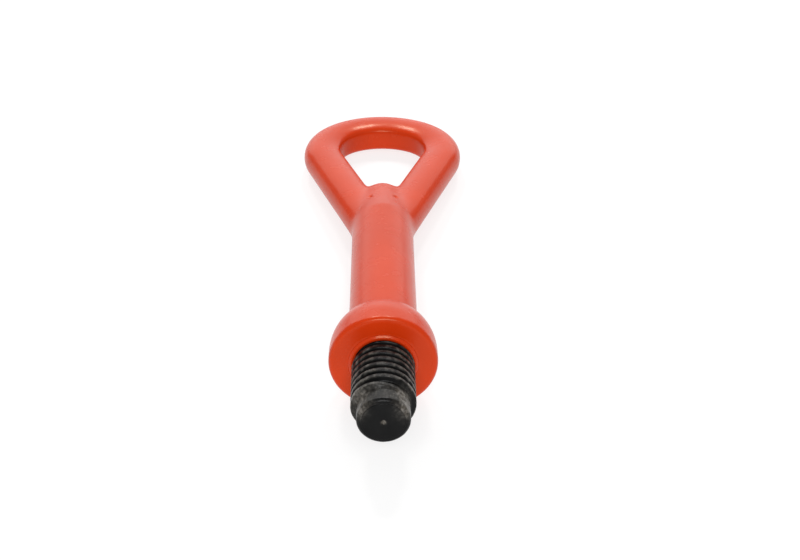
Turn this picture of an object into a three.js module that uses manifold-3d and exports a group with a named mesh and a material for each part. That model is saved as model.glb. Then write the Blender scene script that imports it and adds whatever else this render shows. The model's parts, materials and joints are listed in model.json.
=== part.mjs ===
// Screw-in towing eye: a pear-shaped bow of oval bar on a round shank, a bell-shaped collar that seats
// against the vehicle's socket, and a left-hand threaded stud with a plain pilot end.
// Every piece is drawn along one axis: +Y runs from the collar's front face towards the bow, +X is to
// the right and +Z is up. The finished assembly is then laid down on its collar and its bow.
// Millimetres.
import * as THREE from "three";
import { mergeVertices } from "three/addons/utils/BufferGeometryUtils.js";
import Module from "manifold-3d";

const wasm = await Module();
wasm.setup();

// Driving dimensions
const THREAD_RADIUS = 10;
const THREAD_ROOT_RADIUS = 8.4;
const THREAD_PITCH = 3;
const STUD_LENGTH = 29.2; // how far the stud stands out of the collar's front face
const PILOT_LENGTH = 7.5; // the plain end that finds the socket before the thread does
const PILOT_RADIUS = 8.2; // behind its rounded tip; it widens to the thread's root
const SHANK_RADIUS = 11.25;
const COLLAR_RADIUS = 17.3;
const BOW_CROWN_Y = 170.8; // centre line of the bow's far end
const CROWN_RADIUS = 27; // centre line of the wide arc over the bow's far end
const CROWN_HALF_ANGLE = THREE.MathUtils.degToRad(30); // how far that arc goes to each side
const SHOULDER_RADIUS = 22.5; // centre line of the tighter arcs from there down to the legs
const LEG_ANGLE = THREE.MathUtils.degToRad(19.5); // each leg to the axis
const BAR_WIDTH = 14.8; // the bow's bar, in the plane of the bow
const BAR_HEIGHT = 12.6; // the bow's bar, across that plane
const GAP = 0.3; // left between pieces that touch

// The right-hand side of the bow, worked out from them
const CROWN_CENTRE = new THREE.Vector2(0, BOW_CROWN_Y - CROWN_RADIUS);
const SHOULDER_CENTRE = CROWN_CENTRE.clone().addScaledVector(
  new THREE.Vector2(Math.sin(CROWN_HALF_ANGLE), Math.cos(CROWN_HALF_ANGLE)),
  CROWN_RADIUS - SHOULDER_RADIUS,
);
const LEG_DIRECTION = new THREE.Vector2(Math.sin(LEG_ANGLE), Math.cos(LEG_ANGLE));
const LEG_OUTWARD = new THREE.Vector2(Math.cos(LEG_ANGLE), -Math.sin(LEG_ANGLE));
const LEG_TOP = SHOULDER_CENTRE.clone().addScaledVector(LEG_OUTWARD, SHOULDER_RADIUS);

// Lengths along the axis
const SHANK_FRONT_Y = -0.4; // the shank stands this far out of the collar as a low boss
const SHANK_END_Y = 86; // where the round bar starts to taper in between the legs
const NOSE_Y = 106.5; // where the taper ends in a rounded nose
const NOSE_RADIUS = 7.8;
const NOSE_LENGTH = 8;
const COLLAR_RIM_Y = 4; // the rim is full size up to here, and then curves down to the shank
const COLLAR_BELL_LENGTH = 15.5;
const COLLAR_BELL_POWER = 2.4; // above 1: flat at the rim, steep where it runs out on the shank
const COLLAR_END_Y = 16.5;
const COLLAR_EDGE_RADIUS = 1.6;
const LEG_FOOT_Y = 81; // the legs' centre lines run to here before they are coped

// The stud's root and the socket that holds it
const ROOT_RADIUS = 9.2;
const ROOT_DEPTH = 1.3;
const SPIGOT_RADIUS = 7;
const SPIGOT_DEPTH = 16;
const EDGE_BREAK = 0.9;

// The ball of weld in the crotch, before the nose and the legs are cut out of it
const CROTCH_SIZE = new THREE.Vector3(19, 15, 10.4);
const CROTCH_Y = 110;
const CROTCH_RINGS = 12;

const ROUND_SEGMENTS = 40;
const THREAD_SEGMENTS = 32; // a turn of the thread, and the core under it
const BAR_SEGMENTS = 20;
const BOW_STEPS = 16; // from the top of a leg to the crown
const OUTER_ROUNDNESS = 2.2; // the bar's section: 2 is an ellipse, and more is squarer
const INNER_ROUNDNESS = 3.2;

const { cos, sin, PI, sign, abs } = Math;

const orangePaint = new THREE.MeshStandardMaterial({ color: 0xd8411e, roughness: 0.32, metalness: 0.0 });
const blackSteel = new THREE.MeshStandardMaterial({ color: 0x1d1e1f, roughness: 0.5, metalness: 0.6 });

// A closed geometry as a manifold-3d solid, for cutting and joining.
function solid(geometry) {
  const bare = geometry.clone();
  bare.deleteAttribute("normal");
  bare.deleteAttribute("uv");
  const merged = mergeVertices(bare, 1e-4);
  return new wasm.Manifold(
    new wasm.Mesh({
      numProp: 3,
      vertProperties: new Float32Array(merged.attributes.position.array),
      triVerts: new Uint32Array(merged.index.array),
    }),
  );
}

// A solid as a named mesh.
function piece(name, body, material) {
  const { vertProperties, triVerts } = body.getMesh();
  const geometry = new THREE.BufferGeometry();
  geometry.setAttribute("position", new THREE.BufferAttribute(vertProperties, 3));
  geometry.setIndex(new THREE.BufferAttribute(triVerts, 1));
  geometry.computeVertexNormals();
  const mesh = new THREE.Mesh(geometry, material);
  mesh.name = name;
  return mesh;
}

// A solid turned about the axis from [radius, y] points that start and end on it, or close on themselves.
function turned(points, segments = ROUND_SEGMENTS) {
  const profile = points.map(([radius, y]) => new THREE.Vector2(radius, y));
  return solid(new THREE.LatheGeometry(profile, segments));
}

// Points on an arc of an ellipse, as [radius, y] pairs.
function arc(centreRadius, centreY, acrossRadius, alongRadius, from, to, steps) {
  return Array.from({ length: steps + 1 }, (_, i) => {
    const angle = from + ((to - from) * i) / steps;
    return [centreRadius + acrossRadius * cos(angle), centreY + alongRadius * sin(angle)];
  });
}

// A closed body through rings of points. Each ring goes anticlockwise when seen from the next one.
function loft(rings) {
  const count = rings[0].length;
  const positions = rings.flat().flatMap((p) => [p.x, p.y, p.z]);
  const index = [];
  for (let i = 0; i + 1 < rings.length; i++) {
    for (let j = 0; j < count; j++) {
      const a = i * count + j;
      const b = i * count + ((j + 1) % count);
      index.push(a, b, a + count, b, b + count, a + count);
    }
  }
  const last = (rings.length - 1) * count;
  for (let j = 1; j + 1 < count; j++) {
    index.push(0, j + 1, j, last, last + j, last + j + 1);
  }
  const geometry = new THREE.BufferGeometry();
  geometry.setAttribute("position", new THREE.Float32BufferAttribute(positions, 3));
  geometry.setIndex(index);
  return solid(geometry);
}

// How thick the shank is behind the collar: a plain bar, and then a taper in between the legs.
function shankRadiusAt(y) {
  const along = THREE.MathUtils.clamp((y - SHANK_END_Y) / (NOSE_Y - SHANK_END_Y), 0, 1);
  return THREE.MathUtils.lerp(SHANK_RADIUS, NOSE_RADIUS, along);
}

// The shank: a round bar with a blind socket in front and a tapered nose behind. grow makes the
// larger copy that clears it.
function shankBody(grow = 0) {
  const radius = SHANK_RADIUS + grow;
  const socket = [
    [0, SPIGOT_DEPTH + GAP],
    [SPIGOT_RADIUS + GAP, SPIGOT_DEPTH + GAP],
    [SPIGOT_RADIUS + GAP, ROOT_DEPTH + GAP],
    [ROOT_RADIUS + GAP, ROOT_DEPTH + GAP],
    [ROOT_RADIUS + GAP, SHANK_FRONT_Y],
  ];
  const front = arc(radius - EDGE_BREAK, SHANK_FRONT_Y + EDGE_BREAK, EDGE_BREAK, EDGE_BREAK, -PI / 2, 0, 3);
  const nose = arc(0, NOSE_Y, NOSE_RADIUS + grow, NOSE_LENGTH + grow, 0, PI / 2, 6);
  const start = grow ? [[0, SHANK_FRONT_Y]] : socket;
  return turned([...start, ...front, [radius, SHANK_END_Y], ...nose]);
}

// How thick the collar's bell-shaped back is.
function collarBack(y) {
  const along = (y - COLLAR_RIM_Y) / COLLAR_BELL_LENGTH;
  return SHANK_RADIUS + (COLLAR_RADIUS - SHANK_RADIUS) * (1 - along ** COLLAR_BELL_POWER);
}

// The collar: a flat face with a rounded edge, a full-size rim and the bell-shaped back.
function collarBody() {
  const bore = SHANK_RADIUS + GAP;
  const r = COLLAR_EDGE_RADIUS;
  const edge = arc(COLLAR_RADIUS - r, r, r, r, -PI / 2, 0, 4);
  const steps = 6;
  const back = Array.from({ length: steps + 1 }, (_, i) => {
    const y = COLLAR_RIM_Y + ((COLLAR_END_Y - COLLAR_RIM_Y) * i) / steps;
    return [collarBack(y), y];
  });
  const outline = [[bore, 0], ...edge, ...back, [bore, COLLAR_END_Y]];
  return turned([...outline, outline[0]]);
}

// The weld behind the collar, a ring that carries the bell's curve on down to the shank.
function collarWeldBody() {
  const bore = SHANK_RADIUS + GAP;
  const startY = COLLAR_END_Y + GAP;
  const boreShare = 1 - GAP / (COLLAR_RADIUS - SHANK_RADIUS);
  const endY = COLLAR_RIM_Y + COLLAR_BELL_LENGTH * boreShare ** (1 / COLLAR_BELL_POWER);
  const steps = 4;
  const curve = Array.from({ length: steps }, (_, i) => {
    const y = startY + ((endY - startY) * i) / steps;
    return [collarBack(y), y];
  });
  const outline = [[bore, startY], ...curve, [bore, endY]];
  return turned([...outline, outline[0]]);
}

// A point on the bar's oval section, whose inner side is flatter than its outer side. angle is 0 at
// the outer side of the bow.
function barPoint(angle, grow = 0) {
  const power = 2 / (cos(angle) < 0 ? INNER_ROUNDNESS : OUTER_ROUNDNESS);
  return {
    across: (BAR_WIDTH / 2 + grow) * sign(cos(angle)) * abs(cos(angle)) ** power,
    up: (BAR_HEIGHT / 2 + grow) * sign(sin(angle)) * abs(sin(angle)) ** power,
  };
}

// The section as a ring of points at one station of the bow.
function barRing(centre, outward, grow) {
  return Array.from({ length: BAR_SEGMENTS }, (_, i) => {
    const { across, up } = barPoint((-2 * PI * i) / BAR_SEGMENTS, grow);
    return new THREE.Vector3(centre.x + outward.x * across, centre.y + outward.y * across, up);
  });
}

// A point of the bow's right-hand centre line, and the direction out of the bow there. turn is 0 at
// the crown and a right angle where the bow is widest.
function bowStation(turn) {
  const outward = new THREE.Vector2(sin(turn), cos(turn));
  const [middle, radius] =
    turn < CROWN_HALF_ANGLE ? [CROWN_CENTRE, CROWN_RADIUS] : [SHOULDER_CENTRE, SHOULDER_RADIUS];
  return [middle.clone().addScaledVector(outward, radius), outward];
}

// One half of the bow, from its leg's foot to the crown. side is 1 for the right, -1 for the left.
function bowHalf(side, grow) {
  const foot = LEG_TOP.clone().addScaledVector(LEG_DIRECTION, (LEG_FOOT_Y - LEG_TOP.y) / LEG_DIRECTION.y);
  const stations = [[foot, LEG_OUTWARD]];
  for (let i = 0; i <= BOW_STEPS; i++) {
    stations.push(bowStation((PI / 2 + LEG_ANGLE) * (1 - i / BOW_STEPS)));
  }
  const rings = stations.map(([centre, outward]) => barRing(centre, outward, grow));
  if (side > 0) return loft(rings);
  rings.flat().forEach((point) => (point.x *= -1));
  return loft(rings.reverse());
}

// The whole bow, with its legs coped to fit the shank.
function bowBody() {
  const [right, left] = [1, -1].map((side) => bowHalf(side, 0).subtract(shankClearance));
  return right.add(left);
}

// The point of the right-hand seam where the line along a leg from the section's angle meets the shank.
function seamPoint(angle) {
  const { across, up } = barPoint(angle);
  const lineX = (y) => LEG_TOP.x + ((y - LEG_TOP.y) * LEG_DIRECTION.x + across) / LEG_DIRECTION.y;
  let [inside, outside] = [LEG_FOOT_Y - BAR_WIDTH, LEG_TOP.y];
  while (outside - inside > 0.01) {
    const y = (inside + outside) / 2;
    if (Math.hypot(lineX(y), up) < shankRadiusAt(y) && lineX(y) < SHANK_RADIUS) inside = y;
    else outside = y;
  }
  return new THREE.Vector3(lineX(inside), inside, up);
}

// A weld along the corner where a leg's outer side meets the shank.
function legWeldBody(side) {
  const beadRadius = 1.5;
  const beadSegments = 10;
  const steps = 22;
  const reach = 0.5 * PI; // how far round the leg the weld goes, up and down from its outer side
  const seam = Array.from({ length: steps + 1 }, (_, i) => {
    const point = seamPoint(-reach + (2 * reach * i) / steps);
    return point.setX(side * point.x);
  });
  const rings = seam.map((centre, i) => {
    const travel = seam[Math.min(i + 1, steps)].clone().sub(seam[Math.max(i - 1, 0)]).normalize();
    const outward = new THREE.Vector3(centre.x, 0, centre.z).normalize();
    const across = outward.clone().cross(travel).normalize();
    const up = travel.clone().cross(across);
    return Array.from({ length: beadSegments }, (_, j) => {
      const angle = (2 * PI * j) / beadSegments;
      return centre
        .clone()
        .addScaledVector(across, beadRadius * cos(angle))
        .addScaledVector(up, beadRadius * sin(angle));
    });
  });
  return loft(rings);
}

// The weld that fills the crotch between the legs in front of the nose.
function crotchWeldBody() {
  const ball = new THREE.SphereGeometry(1, BAR_SEGMENTS, CROTCH_RINGS);
  ball.scale(CROTCH_SIZE.x / 2, CROTCH_SIZE.y / 2, CROTCH_SIZE.z / 2);
  ball.translate(0, CROTCH_Y, 0);
  return solid(ball);
}

// The stud's core: a flat end face with a centre mark, a rounded tip, pilot, thread core, root and spigot.
function studCoreBody() {
  const tipLength = 1.3;
  const faceRadius = 6.6;
  const tipSteps = 3;
  const markRadius = 0.8;
  const markDepth = 0.7;
  const rootBlend = 1.2;
  const outline = [
    [0, markDepth - STUD_LENGTH],
    [markRadius, -STUD_LENGTH],
    ...arc(faceRadius, tipLength - STUD_LENGTH, PILOT_RADIUS - faceRadius, tipLength, -PI / 2, 0, tipSteps),
    [THREAD_ROOT_RADIUS, PILOT_LENGTH - STUD_LENGTH],
    [THREAD_ROOT_RADIUS, SHANK_FRONT_Y - rootBlend],
    [ROOT_RADIUS, SHANK_FRONT_Y - rootBlend / 4],
    [ROOT_RADIUS, ROOT_DEPTH],
    [SPIGOT_RADIUS, ROOT_DEPTH],
    [SPIGOT_RADIUS, SPIGOT_DEPTH - EDGE_BREAK],
    [SPIGOT_RADIUS - EDGE_BREAK, SPIGOT_DEPTH],
    [0, SPIGOT_DEPTH],
  ];
  return turned(outline, THREAD_SEGMENTS);
}

// The thread: one left-hand ridge wound along the core, cut off on a taper at each end.
function threadBody() {
  const crestHalfWidth = 0.8;
  const rootHalfWidth = 1.36;
  const sunk = 0.35; // the ridge's foot sits this far below the core's surface
  const startY = SHANK_FRONT_Y - 0.4;
  const endY = PILOT_LENGTH - STUD_LENGTH;
  const steps = Math.round(((startY - endY) / THREAD_PITCH) * THREAD_SEGMENTS);
  const section = [
    [THREAD_ROOT_RADIUS - sunk, -rootHalfWidth],
    [THREAD_ROOT_RADIUS - sunk, rootHalfWidth],
    [THREAD_RADIUS, crestHalfWidth],
    [THREAD_RADIUS, -crestHalfWidth],
  ];
  const rings = Array.from({ length: steps + 1 }, (_, i) => {
    const angle = (2 * PI * i) / THREAD_SEGMENTS;
    const y = startY - (THREAD_PITCH * i) / THREAD_SEGMENTS;
    return section.map(([radius, along]) => {
      return new THREE.Vector3(radius * sin(angle), y + along, radius * cos(angle));
    });
  });
  const inner = THREAD_ROOT_RADIUS - 1;
  const outer = THREAD_RADIUS + 1;
  const runOut = (outer - inner) / 2;
  const envelope = [
    [inner, endY],
    [outer, endY + runOut],
    [outer, SHANK_FRONT_Y - GAP - runOut],
    [inner, SHANK_FRONT_Y - GAP],
  ];
  return loft(rings).intersect(turned([...envelope, envelope[0]], THREAD_SEGMENTS));
}

const shankClearance = shankBody(GAP);
const bowClearance = bowHalf(1, GAP).add(bowHalf(-1, GAP));
const trimmed = (weld) => weld.subtract(shankClearance).subtract(bowClearance);

const assembly = new THREE.Group();
assembly.add(
  piece("threaded_stud", studCoreBody().add(threadBody()), blackSteel),
  piece("shank", shankBody(), orangePaint),
  piece("collar", collarBody(), orangePaint),
  piece("collar_weld", collarWeldBody(), orangePaint),
  piece("eye_bow", bowBody(), orangePaint),
  piece("leg_weld_right", trimmed(legWeldBody(1)), orangePaint),
  piece("leg_weld_left", trimmed(legWeldBody(-1)), orangePaint),
  piece("crotch_weld", trimmed(crotchWeldBody()), orangePaint),
);

// Lay it down: the collar's rim and the underside of the bow's crown touch the ground, and the
// origin is under the middle of the whole.
const rimToCrown = BOW_CROWN_Y - COLLAR_RIM_Y;
assembly.rotation.x = -Math.atan((COLLAR_RADIUS - BAR_HEIGHT / 2) / rimToCrown);
const towingEye = new THREE.Group();
towingEye.add(assembly);
const box = new THREE.Box3().setFromObject(towingEye, true);
assembly.position.y = -(box.min.y + box.max.y) / 2;
assembly.position.z = -box.min.z;

export default towingEye;
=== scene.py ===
import json
import math

import bmesh
import bpy
import numpy as np
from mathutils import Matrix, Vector, noise


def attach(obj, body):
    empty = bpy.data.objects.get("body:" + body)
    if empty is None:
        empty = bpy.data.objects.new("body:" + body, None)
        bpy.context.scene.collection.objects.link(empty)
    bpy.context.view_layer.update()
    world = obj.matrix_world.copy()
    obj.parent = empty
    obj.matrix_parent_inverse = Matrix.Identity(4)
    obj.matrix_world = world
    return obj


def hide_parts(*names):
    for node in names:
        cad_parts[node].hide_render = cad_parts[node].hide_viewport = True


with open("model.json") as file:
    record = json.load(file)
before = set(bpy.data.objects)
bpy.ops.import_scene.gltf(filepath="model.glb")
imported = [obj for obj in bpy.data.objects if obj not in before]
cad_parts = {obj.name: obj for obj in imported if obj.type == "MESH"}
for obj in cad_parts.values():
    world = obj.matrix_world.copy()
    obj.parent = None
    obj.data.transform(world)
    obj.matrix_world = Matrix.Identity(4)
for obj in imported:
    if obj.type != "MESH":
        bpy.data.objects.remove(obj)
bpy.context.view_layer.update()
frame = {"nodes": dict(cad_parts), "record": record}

noise.seed_set(5)  # without it the noise vectors would start from the clock
MM = 0.001


# ---------------------------------------------------------------- the frame, read in axis coordinates
def axis_frame():
    """The eye's axis frame: its origin in metres and its axes as matrix columns."""
    face = next(m for m in frame["record"]["mounts"] if m["name"] == "collar_face")
    along = -Vector(face["axis"]).normalized()
    right = Vector((1, 0, 0))
    up = right.cross(along)
    origin = Vector((0, face["pos_m"][1], face["pos_m"][2]))
    return np.array(origin), np.array([right, along, up]).T


ORIGIN, TURN = axis_frame()


def to_row(points):
    """Axis-frame millimetres to row-frame metres."""
    return (np.asarray(points) * MM) @ TURN.T + ORIGIN


def span(node):
    """Lowest and highest corner of a CAD node in axis-frame millimetres."""
    co = np.array([v.co for v in frame["nodes"][node].data.vertices])
    local = ((co - ORIGIN) @ TURN) / MM
    return local.min(0), local.max(0)


STUD_LO, STUD_HI = span("threaded_stud")
SHANK_LO, SHANK_HI = span("shank")
COLLAR_HI = span("collar")[1]
WELD_HI = span("collar_weld")[1]
BOW_LO, BOW_HI = span("eye_bow")

# Driving dimensions
THREAD_RADIUS = STUD_HI[0]
ROOT_RADIUS = 8.4
PITCH = 3.0
TIP_Y = STUD_LO[1]
PILOT_LENGTH = 7.5
PILOT_RADIUS = 8.2
SHANK_RADIUS = SHANK_HI[0]
BOSS_Y = SHANK_LO[1]
SHANK_END_Y = 86.0
NOSE_Y = 106.5
NOSE_RADIUS = 7.8
NOSE_LENGTH = SHANK_HI[1] - NOSE_Y
COLLAR_RADIUS = COLLAR_HI[0]
BAR_HEIGHT = BOW_HI[2] - BOW_LO[2]
BAR_WIDTH = 14.8
INNER_OVAL = 9.6  # half width of the oval whose end is cut flat on the bow's inner side
CROWN_Y = BOW_HI[1] - BAR_WIDTH / 2
CROWN_RADIUS = 27.0
CROWN_HALF_ANGLE = math.radians(30)
SHOULDER_RADIUS = 22.5
LEG_ANGLE = math.radians(19.5)

# The right-hand side of the bow: its arcs' centres and the top of its straight leg
CROWN_CENTRE = np.array([0, CROWN_Y - CROWN_RADIUS])
SHOULDER_CENTRE = CROWN_CENTRE + (CROWN_RADIUS - SHOULDER_RADIUS) * np.array(
    [math.sin(CROWN_HALF_ANGLE), math.cos(CROWN_HALF_ANGLE)]
)
LEG_OUT = np.array([math.cos(LEG_ANGLE), -math.sin(LEG_ANGLE)])
LEG_ALONG = np.array([math.sin(LEG_ANGLE), math.cos(LEG_ANGLE)])
LEG_TOP = SHOULDER_CENTRE + SHOULDER_RADIUS * LEG_OUT


# ---------------------------------------------------------------- mesh helpers
def grid_faces(rows, columns, wrap_columns=True):
    """Quads over a grid stored row by row, facing out when columns then rows turn right-handed."""
    last = columns if wrap_columns else columns - 1
    row, column = np.meshgrid(np.arange(rows - 1), np.arange(last), indexing="ij")
    a = row * columns + column
    b = row * columns + (column + 1) % columns
    return np.stack([a, b, b + columns, a + columns], -1).reshape(-1, 4)


def waviness(points, size, height, seed):
    """A smooth random height for each point, as a forged and painted surface has."""
    shift = Vector((seed * 17.3, seed * 5.1, seed * 9.7))
    return np.array([noise.noise(Vector(p) / size + shift) for p in points]) * height


def uneven(points):
    """Points moved by one smooth field, so that painted pieces stay joined and get a hand-made look."""
    reach, height = 15.0, 0.05
    pits = [((-4.7, 96.4, 8.2), (0.8, 1.3, 0.9)), ((5.0, 96.6, 8.0), (0.9, 0.9, 0.9))]
    pit_depth = 0.8
    points = np.array(points, float)
    moved = points + np.array([noise.noise_vector(Vector(p) / reach) for p in points]) * height
    for place, size in pits:
        depth = pit_depth * near(points, place, size)
        moved[:, [0, 2]] -= depth[:, None] * np.array(place)[[0, 2]] / math.hypot(place[0], place[2])
    return moved


def near(points, place, size):
    """1 at a place and falling off smoothly round it, over a size in each direction."""
    return np.exp(-(((points - np.array(place)) / np.array(size)) ** 2).sum(1))


def make_piece(name, points, faces, material, slot, *nodes):
    """A smooth mesh object in the row frame that stands for some CAD nodes."""
    if material is ORANGE:
        points = uneven(points)
    mesh = bpy.data.meshes.new(name)
    mesh.from_pydata(to_row(points).tolist(), [], [list(map(int, f)) for f in faces])
    shape = bmesh.new()
    shape.from_mesh(mesh)
    same_place, no_length = 1e-3 * MM, 1e-4 * MM
    bmesh.ops.remove_doubles(shape, verts=shape.verts, dist=same_place)
    bmesh.ops.dissolve_degenerate(shape, edges=shape.edges, dist=no_length)
    bmesh.ops.recalc_face_normals(shape, faces=shape.faces)
    shape.to_mesh(mesh)
    shape.free()
    mesh.polygons.foreach_set("use_smooth", [True] * len(mesh.polygons))
    mesh.materials.append(material)
    piece = bpy.data.objects.new(name, mesh)
    bpy.context.collection.objects.link(piece)
    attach(piece, "root")
    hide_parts(*nodes)
    return piece


def rounded(corners):
    """A fine outline through (radius, y, fillet) corners, with each corner rounded to its fillet."""
    most_of_a_side, steps = 0.45, 7
    points = np.array([c[:2] for c in corners], float)
    out = [points[0]]
    for before, here, after, (_, _, fillet) in zip(points, points[1:], points[2:], corners[1:]):
        back, ahead = before - here, after - here
        longest = most_of_a_side * min(np.linalg.norm(back), np.linalg.norm(ahead))
        reach = min(fillet, longest)
        start = here + back / np.linalg.norm(back) * reach
        end = here + ahead / np.linalg.norm(ahead) * reach
        for t in np.linspace(0, 1, steps if reach > 0 else 1):
            out.append((1 - t) ** 2 * start + 2 * t * (1 - t) * here + t * t * end)
    out.append(points[-1])
    return np.array(out)


def densified(outline, step):
    """The outline with points added so that no stretch is longer than step."""
    out = [outline[0]]
    for a, b in zip(outline, outline[1:]):
        count = max(1, math.ceil(np.linalg.norm(b - a) / step))
        out += [a + (b - a) * i / count for i in range(1, count + 1)]
    return np.array(out)


def turned(outline, segments):
    """Points and faces of an outline of (radius, y) turned about the axis."""
    angle = np.arange(segments) * 2 * math.pi / segments
    radius, y = outline[:, :1], outline[:, 1:]
    points = np.stack(
        [radius * np.sin(angle), y + 0 * angle, radius * np.cos(angle)], -1
    ).reshape(-1, 3)
    return points, grid_faces(len(outline), segments)


# ---------------------------------------------------------------- materials
class Nodes:
    """A material's node tree, with short ways to add and join nodes."""

    def __init__(self, name):
        self.material = bpy.data.materials.new(name)
        self.material.use_nodes = True
        self.tree = self.material.node_tree
        self.shader = self.tree.nodes["Principled BSDF"]
        self.position = self.add("ShaderNodeTexCoord").outputs["Object"]

    def add(self, kind, **values):
        node = self.tree.nodes.new(kind)
        for key, value in values.items():
            if key in node.inputs:
                node.inputs[key].default_value = value
            else:
                setattr(node, key, value)
        return node

    def join(self, output, target):
        self.tree.links.new(output, target)

    def noise(self, scale, detail=3.0, stretch=(1, 1, 1)):
        """Noise over the surface, with its features about 1/scale metres across."""
        mapping = self.add("ShaderNodeMapping")
        mapping.inputs["Scale"].default_value = stretch
        self.join(self.position, mapping.inputs["Vector"])
        texture = self.add("ShaderNodeTexNoise", Scale=scale, Detail=detail)
        self.join(mapping.outputs[0], texture.inputs["Vector"])
        return texture.outputs["Fac"]

    def ramp(self, fac, *stops):
        """A colour ramp through (position, colour) stops."""
        node = self.add("ShaderNodeValToRGB")
        elements = node.color_ramp.elements
        while len(elements) < len(stops):
            elements.new(0.5)
        for element, (position, colour) in zip(elements, stops):
            element.position = position
            element.color = (*colour, 1)
        self.join(fac, node.inputs["Fac"])
        return node.outputs["Color"]

    def spread(self, fac, low, high, from_low=0.0, from_high=1.0):
        """fac, rescaled from one range to another."""
        node = self.add("ShaderNodeMapRange", clamp=True)
        limits = {"From Min": from_low, "From Max": from_high, "To Min": low, "To Max": high}
        for name, value in limits.items():
            node.inputs[name].default_value = value
        self.join(fac, node.inputs["Value"])
        return node.outputs["Result"]

    def mix(self, fac, a, b):
        """A colour mixed from two, each a socket or a constant."""
        node = self.add("ShaderNodeMix", data_type="RGBA")
        self.join(fac, node.inputs["Factor"])
        for socket, value in (("A", a), ("B", b)):
            target = next(s for s in node.inputs if s.name == socket and s.type == "RGBA")
            if isinstance(value, tuple):
                target.default_value = (*value, 1)
            else:
                self.join(value, target)
        return next(s for s in node.outputs if s.type == "RGBA")

    def bump(self, height, strength, distance, normal=None):
        node = self.add("ShaderNodeBump", Strength=strength, Distance=distance)
        self.join(height, node.inputs["Height"])
        if normal is not None:
            self.join(normal, node.inputs["Normal"])
        return node.outputs["Normal"]


def orange_enamel():
    """Glossy orange-red enamel: a slow colour drift, fine specks, soft ripples and orange peel."""
    m = Nodes("orange_enamel")
    drift = m.noise(55, 3)
    base = m.ramp(drift, (0.3, (0.53, 0.030, 0.002)), (0.7, (0.59, 0.037, 0.004)))
    speck = m.spread(m.noise(1500, 2), 0.0, 0.25, 0.60, 0.80)
    m.join(m.mix(speck, base, (0.64, 0.075, 0.022)), m.shader.inputs["Base Color"])
    m.join(m.spread(m.noise(140, 3), 0.20, 0.32), m.shader.inputs["Roughness"])
    ripple = m.bump(m.noise(170, 2), 0.22, 0.0003)
    peel = m.bump(m.noise(1100, 2), 0.15, 0.00005, ripple)
    m.join(peel, m.shader.inputs["Normal"])
    m.shader.inputs["Specular IOR Level"].default_value = 0.28
    m.shader.inputs["Specular Tint"].default_value = (0.96, 0.84, 0.56, 1)
    return m.material


def black_phosphate():
    """Black finish on machined steel: satin and mottled, turned brown and grey where the steel is bare,
    and also where sheen and a highlight are painted in.
    """
    m = Nodes("black_phosphate")
    mottle = m.noise(300, 4)
    base = m.ramp(mottle, (0.35, (0.0018, 0.0019, 0.0020)), (0.7, (0.0040, 0.0041, 0.0042)))
    # This attribute holds bare steel where scuffed, plus painted sheen on the crests and pilot and a
    # painted highlight in the centre mark.
    worn_and_sheen = m.add("ShaderNodeAttribute", attribute_name="wear_and_sheen").outputs["Fac"]
    patchy = m.add("ShaderNodeMath", operation="MULTIPLY", use_clamp=True)
    m.join(worn_and_sheen, patchy.inputs[0])
    m.join(m.spread(m.noise(1300, 3, (1, 0.4, 1)), 0.6, 1.6, 0.42, 0.66), patchy.inputs[1])
    bare_metal_and_sheen = m.ramp(m.noise(700, 2), (0.35, (0.080, 0.070, 0.058)), (0.7, (0.210, 0.195, 0.175)))
    m.join(m.mix(patchy.outputs[0], base, bare_metal_and_sheen), m.shader.inputs["Base Color"])
    m.join(m.spread(m.noise(420, 3), 0.24, 0.38), m.shader.inputs["Roughness"])
    grain = m.bump(m.noise(2300, 3), 0.16, 0.00005)
    m.join(grain, m.shader.inputs["Normal"])
    m.shader.inputs["Specular IOR Level"].default_value = 0.12
    return m.material


ORANGE = orange_enamel()
BLACK = black_phosphate()


# ---------------------------------------------------------------- the body
def shank_radius(y):
    """The shank's radius: a plain bar that turns softly into a taper."""
    slope = (SHANK_RADIUS - NOSE_RADIUS) / (NOSE_Y - SHANK_END_Y)
    softness = 0.45
    along = np.logaddexp(0, (np.asarray(y) - SHANK_END_Y) / softness) * softness
    return SHANK_RADIUS - slope * along


def shank_distance(p):
    """Roughly how far points are outside the shank."""
    across = np.hypot(p[..., 0], p[..., 2])
    past = np.maximum(p[..., 1] - NOSE_Y, 0) / NOSE_LENGTH
    nose = (np.hypot(across / NOSE_RADIUS, past) - 1) * NOSE_RADIUS
    return np.where(p[..., 1] < NOSE_Y, across - shank_radius(p[..., 1]), nose)


def smooth_min(a, b, width):
    """The smaller of two distances, with the corner between them filled by a fillet."""
    overlap = np.maximum(width - np.abs(a - b), 0) / width
    return np.minimum(a, b) - overlap ** 3 * width / 6


def bar_distance(out, up):
    """Roughly how far points are outside the bar's section: an oval, cut flat on the bow's inner side."""
    corner = 1.7
    half_width = np.where(out < 0, INNER_OVAL, BAR_WIDTH / 2)
    power = np.where(out < 0, 2.0, 2.2)
    reach = np.hypot(out, up) + 1e-9
    level = (np.abs(out / half_width) ** power + np.abs(up / (BAR_HEIGHT / 2)) ** power) ** (1 / power)
    oval = reach * (1 - 1 / np.maximum(level, 1e-3))
    flat = -out - BAR_WIDTH / 2
    return -smooth_min(-oval, -flat, corner)


def leg_distance(p, side):
    """Roughly how far points are outside a straight leg."""
    out = (side * p[..., 0] - LEG_TOP[0]) * LEG_OUT[0] + (p[..., 1] - LEG_TOP[1]) * LEG_OUT[1]
    return bar_distance(out, p[..., 2])


def fillet_width(p):
    """The painted corner between shank and legs is tight beside the shank and wide along its taper."""
    tight, wide, length = 2.2, 5.0, 10.0
    along = np.clip((p[..., 1] - SHANK_END_Y) / length, 0, 1)
    return tight + (wide - tight) * along * along * (3 - 2 * along)


def body_distance(p):
    """The shank and both legs, run together with a soft fillet."""
    legs = np.minimum(leg_distance(p, 1), leg_distance(p, -1))
    return smooth_min(shank_distance(p), legs, fillet_width(p))


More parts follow.
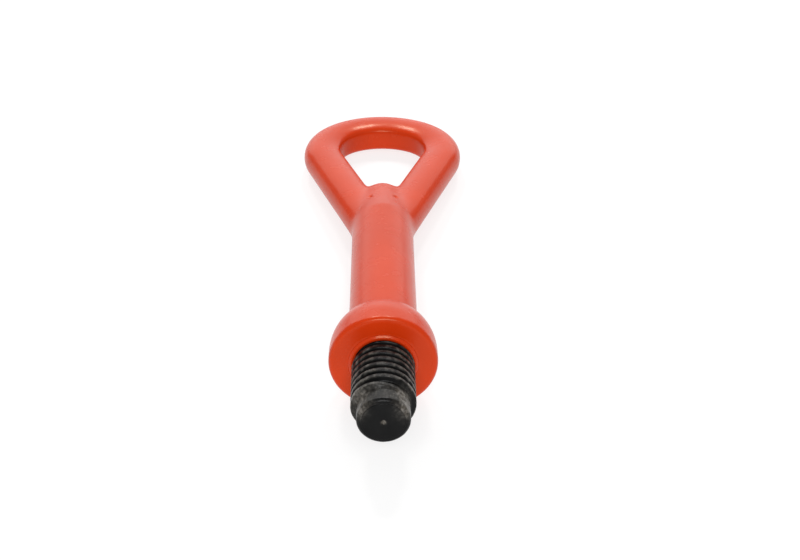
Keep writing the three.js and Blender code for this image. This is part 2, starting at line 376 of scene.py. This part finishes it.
def slope_of(distance, points):
    """The slope of a distance field at each point, which is also the way out of the body."""
    step = 1e-3
    across = [distance(points + step * e) - distance(points - step * e) for e in np.eye(3)]
    return np.stack(across, -1) / (2 * step)


def settle(points, distance, level=0.0, rounds=8):
    """Moves points along a distance field's slope onto one of its levels."""
    p = np.array(points, float)
    least = 0.2
    for _ in range(rounds):
        here = distance(p) - level
        slope = slope_of(distance, p)
        size = np.maximum((slope ** 2).sum(-1, keepdims=True), least)
        p -= slope * (here[..., None] / size)
    return p


def bar_section(count):
    """(out, up) points round the bar, starting at the bow's outer side."""
    angle = -np.arange(count) * 2 * math.pi / count
    way = np.stack([np.cos(angle), np.sin(angle)], -1)
    inside = np.full((count, 1), BAR_HEIGHT / 4)
    outside = np.full((count, 1), BAR_WIDTH)
    for _ in range(30):
        reach = (inside + outside) / 2
        within = bar_distance(*(way * reach).T)[:, None] < 0
        inside = np.where(within, reach, inside)
        outside = np.where(within, outside, reach)
    return way * inside


def leg_points(section, y):
    """Points of the right leg at each section point, where its surface line crosses y."""
    out, up = section[:, 0], section[:, 1]
    x = LEG_TOP[0] + ((y - LEG_TOP[1]) * LEG_ALONG[0] + out) / LEG_ALONG[1]
    return np.stack([x, y + 0 * x, up], -1)


def seam_y(section):
    """Where each surface line of the right leg meets the shank."""
    inside = np.full(len(section), SHANK_END_Y - BAR_WIDTH)
    outside = np.full(len(section), LEG_TOP[1])
    for _ in range(30):
        y = (inside + outside) / 2
        p = leg_points(section, y)
        sunk = (shank_distance(p) < 0) & (p[:, 0] < SHANK_RADIUS)
        inside = np.where(sunk, y, inside)
        outside = np.where(sunk, outside, y)
    return inside


def bow_centre(turn):
    """A point of the right-hand centre line and the way out of the bow. turn is 0 at the crown."""
    outward = np.array([math.sin(turn), math.cos(turn)])
    if turn < CROWN_HALF_ANGLE:
        return CROWN_CENTRE + CROWN_RADIUS * outward, outward
    return SHOULDER_CENTRE + SHOULDER_RADIUS * outward, outward


def make_bow():
    """The bow: two straight legs from just inside the shank, two tight shoulders and a wide crown."""
    count, leg_rows, crown_rows = 144, 40, 64
    sunk = 1.0
    section = bar_section(count)
    start = seam_y(section) - sunk
    top = leg_points(section, LEG_TOP[1] + section[:, 0] * LEG_OUT[1])[:, 1]
    right = [leg_points(section, start + (top - start) * t) for t in np.linspace(0, 1, leg_rows)]
    for turn in np.linspace(math.pi / 2 + LEG_ANGLE, 0, crown_rows)[1:]:
        centre, outward = bow_centre(turn)
        plan = centre + section[:, :1] * outward
        right.append(np.stack([plan[:, 0], plan[:, 1], section[:, 1]], -1))
    left = [row * np.array([-1, 1, 1]) for row in reversed(right[:-1])]
    rows = right + left
    points = np.concatenate(rows)
    last = len(points) - count
    caps = [list(range(count)), list(range(last, len(points)))[::-1]]
    faces = [*grid_faces(len(rows), count).tolist(), *caps]
    make_piece("eye_bow_painted", points, faces, ORANGE, "orange_paint", "eye_bow")


def reach_of(points, way, only):
    """How far each point goes along its way before the fillet has died out over that one surface."""
    limit, step, spare = 14.0, 0.25, 1.0
    nothing = 0.001
    far = np.full(len(points), limit)
    for s in np.arange(limit, 0, -step):
        p = settle(points + way * s, only, rounds=3)
        far = np.where(only(p) - body_distance(p) < nothing, s, far)
    return far[:, None] + spare


def make_leg_weld(side, name, node):
    """A smooth fillet all round one leg's foot, tucked under the paint at its edges and closed below."""
    count, steps = 200, 28
    skin, below = 0.004, -1.2
    tuck = [-0.09, -0.03, -0.008]
    nearest_x = 0.02
    section = bar_section(count)
    seam = leg_points(section, seam_y(section))
    travel = np.roll(seam, -1, 0) - np.roll(seam, 1, 0)
    over = np.cross(slope_of(shank_distance, seam), travel)
    over /= np.linalg.norm(over, axis=1, keepdims=True)
    leg_side = leg_distance(seam + over, 1) < leg_distance(seam - over, 1)
    over[leg_side] *= -1
    along = np.broadcast_to([LEG_ALONG[0], LEG_ALONG[1], 0], seam.shape)
    leg_reach = reach_of(seam, along, lambda p: leg_distance(p, 1))
    shank_reach = reach_of(seam, over, shank_distance)
    rows = [seam + along * leg_reach * t for t in np.linspace(1, 0, steps)]
    rows += [seam + over * shank_reach * t for t in np.linspace(0, 1, steps)[1:]]
    levels = tuck + [skin] * (len(rows) - 2 * len(tuck)) + tuck[::-1]
    surface = [settle(row, body_distance, level) for row, level in zip(rows, levels)]
    under = [settle(row, body_distance, below) for row in (rows[-1], rows[steps], rows[0])]
    ring = surface + under + [surface[0]]
    points = np.concatenate(ring)
    points[:, 0] = np.maximum(points[:, 0], nearest_x) * side
    make_piece(name, points, grid_faces(len(ring), count), ORANGE, "orange_paint", node)


def make_crotch_weld():
    """The fill between the legs in front of the nose, run softly into them."""
    hi = span("crotch_weld")[1]
    ahead, wider, higher = 3.5, 1.5, 0.2
    fillet, sunk = 1.5, -0.03
    centre = np.array([0, NOSE_Y + ahead, 0])
    half = np.array([hi[0] + wider, hi[1] - centre[1], hi[2] + higher])
    rows, columns = 40, 72
    polar = np.linspace(0, math.pi, rows)[:, None]
    angle = np.arange(columns) * 2 * math.pi / columns
    ball = [np.sin(polar) * np.cos(angle), np.cos(polar) + 0 * angle, np.sin(polar) * np.sin(angle)]
    points = centre + np.stack(ball, -1).reshape(-1, 3) * half

    def joined(p):
        reach = np.linalg.norm((p - centre) / half, axis=-1)
        return smooth_min(body_distance(p), (reach - 1) * half.min(), fillet)

    front = points[:, 1] > centre[1]
    points[front] = settle(points[front], joined, sunk)
    faces = grid_faces(rows, columns)
    make_piece("crotch_weld_painted", points, faces, ORANGE, "orange_paint", "crotch_weld")


def make_shank():
    """The shank, with a rounded boss in front, a blind socket and a soft shoulder before its taper."""
    socket = STUD_HI[1] + 0.3
    spigot = 7.05
    counterbore = 1.6
    mouth = 9.24
    bead = 0.25
    front_end_y, taper_lead = 6.0, 6.0
    bar_step, taper_step = 1.2, 0.35
    front = rounded([
        (0, socket, 0),
        (spigot, socket, 0.3),
        (spigot, counterbore, 0.2),
        (mouth, counterbore, 0.2),
        (mouth, BOSS_Y, 0.2),
        (SHANK_RADIUS - 1.4, BOSS_Y - bead, 0.4),
        (SHANK_RADIUS - 0.9, BOSS_Y - bead, 0.4),
        (SHANK_RADIUS, 0.1, 0.3),
        (SHANK_RADIUS, front_end_y, 0),
    ])
    bar_y = np.arange(front_end_y + 1, SHANK_END_Y - taper_lead, bar_step)
    taper_y = np.arange(SHANK_END_Y - taper_lead, NOSE_Y, taper_step)
    bar = [(shank_radius(y), y) for y in (*bar_y, *taper_y)]
    nose = [
        (NOSE_RADIUS * math.cos(a), NOSE_Y + NOSE_LENGTH * math.sin(a))
        for a in np.linspace(0, math.pi / 2, 16)
    ]
    points, faces = turned(np.concatenate([densified(front, 0.5), bar, nose]), 180)
    make_piece("shank_painted", points, faces, ORANGE, "orange_paint", "shank")


def collar_back(y):
    """The radius of the collar's back: full at the rim, curving down and run out softly on the shank."""
    rim_y, length, power, fillet = 4.0, 15.5, 2.4, 1.4
    along = np.maximum((np.asarray(y) - rim_y) / length, 0)
    bell = SHANK_RADIUS + (COLLAR_RADIUS - SHANK_RADIUS) * (1 - along ** power)
    return -smooth_min(-bell, -SHANK_RADIUS, fillet)


def make_collar():
    """The collar, and the weld ring that runs its back out on the shank, each tucked under the next."""
    bore = SHANK_RADIUS - 0.3
    bore_y = 2.0
    paint_fillet = 0.25
    edge_radius = 1.7
    rim_y = 4.0
    step = 0.3
    front = rounded([
        (bore, bore_y, 0),
        (bore, 0.4, 0),
        (bore, -0.12, 0),
        (SHANK_RADIUS + paint_fillet, 0, 0.3),
        (COLLAR_RADIUS, 0, edge_radius),
        (COLLAR_RADIUS, rim_y, 0),
    ])

    def back(start, seam, end):
        """The painted back from start to end, sinking below it on the way from the seam to the end."""
        sinking = 0.06
        y = np.arange(start, end + step / 2, step)
        sunk = sinking * np.maximum((y - seam) / math.copysign(1, end - seam), 0) ** 2
        return np.stack([collar_back(y) - sunk, y], -1)

    seam = COLLAR_HI[1]
    overlap, run_out = 1.2, 1.8
    rim = back(rim_y + step, seam, seam + overlap)
    outline = np.concatenate([densified(front, 0.4), rim, [(bore, rim[-1, 1]), (bore, bore_y)]])
    points, faces = turned(outline, 180)
    make_piece("collar_painted", points, faces, ORANGE, "orange_paint", "collar")

    ring_end = WELD_HI[1] + run_out
    ring = back(seam, ring_end - overlap, ring_end + overlap)
    outline = np.concatenate([[(bore, seam)], ring, [(bore, ring[-1, 1]), (bore, seam)]])
    points, faces = turned(outline, 180)
    make_piece("collar_weld_painted", points, faces, ORANGE, "orange_paint", "collar_weld")


# ---------------------------------------------------------------- the stud
THREAD_END_Y = TIP_Y + PILOT_LENGTH
THREAD_DEPTH = THREAD_RADIUS - ROOT_RADIUS
FACE_RADIUS = 6.6
TIP_LENGTH = 1.3


def thread_height(angle, y):
    """How far the left-hand thread stands out of its root. angle is 0 on top and grows to the right."""
    crest, root = 0.55, 1.36  # half widths
    straight, curved = 0.35, 0.65  # how the flank's shape is shared out
    last_y = THREAD_END_Y - 0.4
    root_y, root_slope = BOSS_Y - 0.3, 1.6
    fade_end, fade_length = math.radians(50), math.radians(110)
    turns = (y - last_y) / PITCH + angle / (2 * math.pi)
    ridge = np.round(turns)
    flank = np.clip((root - np.abs(turns - ridge) * PITCH) / (root - crest), 0, 1)
    soft = flank * flank * (3 - 2 * flank)
    fade = np.clip((fade_end - angle) / fade_length, 0, 1)
    fade = np.where(ridge > 0, 1, np.where(ridge < 0, 0, fade * fade * (3 - 2 * fade)))
    height = THREAD_DEPTH * (straight * flank + curved * soft) * fade
    collar_run_out = np.clip((root_y - y) * root_slope, 0, None)
    return np.minimum(height, collar_run_out)


def rubbed_and_highlit(points):
    """Patches where the stud is bare, on the pilot's right, left and top, and a painted highlight on the
    lower wall of the centre mark.
    """
    right = near(points, (6.6, TIP_Y + 3.8, 4.8), (2.8, 3.2, 3.2))
    left = near(points, (-7.0, TIP_Y + 4.2, 4.4), (2.2, 3.6, 3.2))
    top = near(points, (-2.8, THREAD_END_Y + 0.2, 7.8), (1.6, 0.7, 1.5))
    # Painted highlight: the centre mark's lower wall, which faces up, turned pale grey.
    mark = near(points, (0, TIP_Y + 0.3, -0.2), (0.55, 0.6, 0.5))
    return 1.5 * right + 0.9 * left + 0.5 * top + 2.0 * mark


def nicks(points):
    """Small dents along the scuffed side of the pilot."""
    count, seed = 26, 7
    first_y, last_y = TIP_Y + 0.6, -23
    random = np.random.default_rng(seed)
    depth = np.zeros(len(points))
    for _ in range(count):
        angle = math.radians(random.uniform(30, 82))
        y = random.uniform(first_y, last_y)
        place = (PILOT_RADIUS * math.sin(angle), y, PILOT_RADIUS * math.cos(angle))
        size = random.uniform(0.16, 0.42, 3)
        depth = np.maximum(depth, random.uniform(0.05, 0.16) * near(points, place, size))
    return depth


def stud_wear_and_sheen(points, angle, height, side):
    """How bare the stud is, with painted sheen: bare patches and the centre mark's painted highlight,
    thread crests that grow much lighter towards the sides as painted sheen, thin grey over the pilot as
    painted sheen, and lighter grey on the upper sides of the rounded tip.
    """
    pilot_sheen, tip_side_grey, tip_fade = 0.16, 0.45, 4.0
    crest = np.clip(height / THREAD_DEPTH * 4 - 3, 0, 1)
    patchy = np.clip(0.45 + waviness(points, 1.6, 1.2, 6), 0, 1)
    # Worn crests, with painted sheen: they grow much lighter towards the stud's sides.
    sideways = np.abs(np.sin(angle))
    side_sheen = 0.15 + 0.75 * sideways ** 0.7
    along_tip = np.clip((points[:, 1] - TIP_Y) / TIP_LENGTH, 0, 1)
    # Painted sheen: an even thin grey over the whole barrel of the pilot.
    barrel_sheen = side * (points[:, 1] < THREAD_END_Y) * (along_tip == 1) * pilot_sheen
    # Lighter grey on the upper sides of the rounded tip.
    upper = np.clip(points[:, 2] / tip_fade, 0, 1)
    shoulders = side * (along_tip < 1) * upper * tip_side_grey * sideways ** 2
    return np.clip(rubbed_and_highlit(points) + side_sheen * crest * patchy + barrel_sheen + shoulders, 0, 1)


def stud_outline():
    """The stud's outline, from its end face with the centre mark to the end of its spigot."""
    row_step = 0.09
    root_y = BOSS_Y - 1.1
    shoulder_radius, spigot_radius, shoulder_depth = 9.2, 7.0, 1.3
    end = rounded([
        (0, TIP_Y + 0.8, 0),
        (0.9, TIP_Y, 0.12),
        (FACE_RADIUS, TIP_Y, 0.1),
        (FACE_RADIUS + 0.06, TIP_Y + 0.14, 0),
    ])
    tip = []
    for t in np.radians(np.linspace(20, 90, 10)):
        radius = FACE_RADIUS + (PILOT_RADIUS - FACE_RADIUS) * math.sin(t)
        tip.append((radius, TIP_Y + TIP_LENGTH * (1 - math.cos(t))))
    run_out = [(PILOT_RADIUS, y) for y in np.arange(THREAD_END_Y - 2, THREAD_END_Y, row_step)]
    pilot = [*tip, *run_out, (ROOT_RADIUS, THREAD_END_Y)]
    thread = [(ROOT_RADIUS, y) for y in np.arange(THREAD_END_Y + 0.1, root_y, row_step)]
    tail = rounded([
        (ROOT_RADIUS, root_y, 0),
        (shoulder_radius, BOSS_Y - 0.2, 0.3),
        (shoulder_radius, shoulder_depth, 0.2),
        (spigot_radius, shoulder_depth, 0.2),
        (spigot_radius, STUD_HI[1], 0.9),
        (0, STUD_HI[1], 0),
    ])
    front = densified(np.concatenate([end, pilot]), 0.2)
    return np.concatenate([front, thread, densified(tail, 0.5)])


def make_stud():
    """The stud: the turned outline with the thread raised on it, slightly rough and nicked."""
    segments = 240
    points, faces = turned(stud_outline(), segments)
    angle = np.arctan2(points[:, 0], points[:, 2])
    across = np.hypot(points[:, 0], points[:, 2])
    outside = (points[:, 1] < BOSS_Y - 0.25) & (across > 0.1)
    side = outside & (across > FACE_RADIUS + 0.2)
    height = thread_height(angle, points[:, 1])
    threaded = np.where(height > 0, np.maximum(across, ROOT_RADIUS + height), across)
    rough = waviness(points, 1.1, 0.03, 4) + waviness(points, 4.0, 0.03, 5) - 0.04
    radius = np.where(side, threaded + rough - nicks(points), across)
    points[:, [0, 2]] *= (radius / np.maximum(across, 1e-6))[:, None]
    # Bare steel, painted sheen and the painted highlight, kept on the vertices for the material.
    wear_and_sheen = np.where(outside, stud_wear_and_sheen(points, angle, height, side), 0)
    piece = make_piece("threaded_stud_black", points, faces, BLACK, "black_steel", "threaded_stud")
    store_wear_and_sheen(piece, points, wear_and_sheen)


def store_wear_and_sheen(piece, points, wear_and_sheen):
    """Stores how bare the steel is, with the painted sheen and highlight, on the piece's own vertices,
    found again by place because some were merged.
    """
    digits = 6
    lookup = {tuple(np.round(p, digits)): w for p, w in zip(to_row(points).tolist(), wear_and_sheen)}
    layer = piece.data.attributes.new("wear_and_sheen", "FLOAT", "POINT")
    values = [lookup.get(tuple(np.round(v.co, digits)), 0.0) for v in piece.data.vertices]
    layer.data.foreach_set("value", values)


# ---------------------------------------------------------------- camera, light and floor
def make_camera():
    """The camera stands in front of the threaded end, looks down on the eye and leans a little."""
    lens, lean = 56.25, math.radians(0.67)
    place, aim = map(Vector, to_row([(-1.2, -319.6, 228.8), (5.95, 50.2, 0)]))
    data = bpy.data.cameras.new("camera")
    data.lens = lens
    data.clip_start = 0.01
    camera = bpy.data.objects.new("camera", data)
    camera.location = place
    camera.rotation_euler = (aim - place).to_track_quat("-Z", "Y").to_euler()
    camera.rotation_euler.rotate_axis("Z", lean)
    bpy.context.collection.objects.link(camera)
    bpy.context.scene.camera = camera


def make_light(name, place, aim, size, radiance):
    """A soft box of one brightness, seen in reflections but not by the camera."""
    data = bpy.data.lights.new(name, "AREA")
    data.shape = "RECTANGLE"
    data.size, data.size_y = size
    data.energy = radiance * size[0] * size[1] * math.pi
    light = bpy.data.objects.new(name, data)
    light.location = place
    light.rotation_euler = (Vector(aim) - Vector(place)).to_track_quat("-Z", "Y").to_euler()
    light.visible_camera = False
    bpy.context.collection.objects.link(light)


def make_floor():
    """A pale floor that glows, like a light table, so that shadows on it stay faint."""
    half, glow = 6.0, 0.77
    mesh = bpy.data.meshes.new("floor")
    corners = [(-half, -half, 0), (half, -half, 0), (half, half, 0), (-half, half, 0)]
    mesh.from_pydata(corners, [], [(0, 1, 2, 3)])
    paper = Nodes("paper")
    fibre = paper.spread(paper.noise(60, 2), 0.22, 0.24)
    paper.join(fibre, paper.shader.inputs["Base Color"])
    paper.shader.inputs["Roughness"].default_value = 0.9
    paper.shader.inputs["Specular IOR Level"].default_value = 0.1
    paper.shader.inputs["Emission Color"].default_value = (1, 1, 1, 1)
    paper.shader.inputs["Emission Strength"].default_value = glow
    mesh.materials.append(paper.material)
    floor = bpy.data.objects.new("floor", mesh)
    bpy.context.collection.objects.link(floor)


def make_studio():
    """Pale surroundings, a bright backdrop, two small boxes high behind and a soft fill in front."""
    key_size, key_radiance = (0.15, 0.12), 50.0
    make_floor()
    world = bpy.data.worlds.new("studio")
    world.use_nodes = True
    world.node_tree.nodes["Background"].inputs["Color"].default_value = (1, 1, 1, 1)
    world.node_tree.nodes["Background"].inputs["Strength"].default_value = 0.38
    bpy.context.scene.world = world
    make_light("backdrop", (0, 1.04, 0.53), (0, 0, 0), (1.8, 1.0), 1.35)
    make_light("key_right", (0.14, 0.60, 0.85), (0, 0.08, 0), key_size, key_radiance)
    make_light("key_left", (-0.21, 0.62, 0.82), (0, 0.08, 0), key_size, key_radiance)
    make_light("front_fill", (0, -0.58, 0.46), (0, -0.05, 0.01), (0.34, 0.22), 12.5)
    bpy.context.scene.view_settings.view_transform = "Standard"


make_camera()
make_studio()
make_shank()
make_collar()
make_bow()
make_leg_weld(1, "leg_weld_right_painted", "leg_weld_right")
make_leg_weld(-1, "leg_weld_left_painted", "leg_weld_left")
make_crotch_weld()
make_stud()
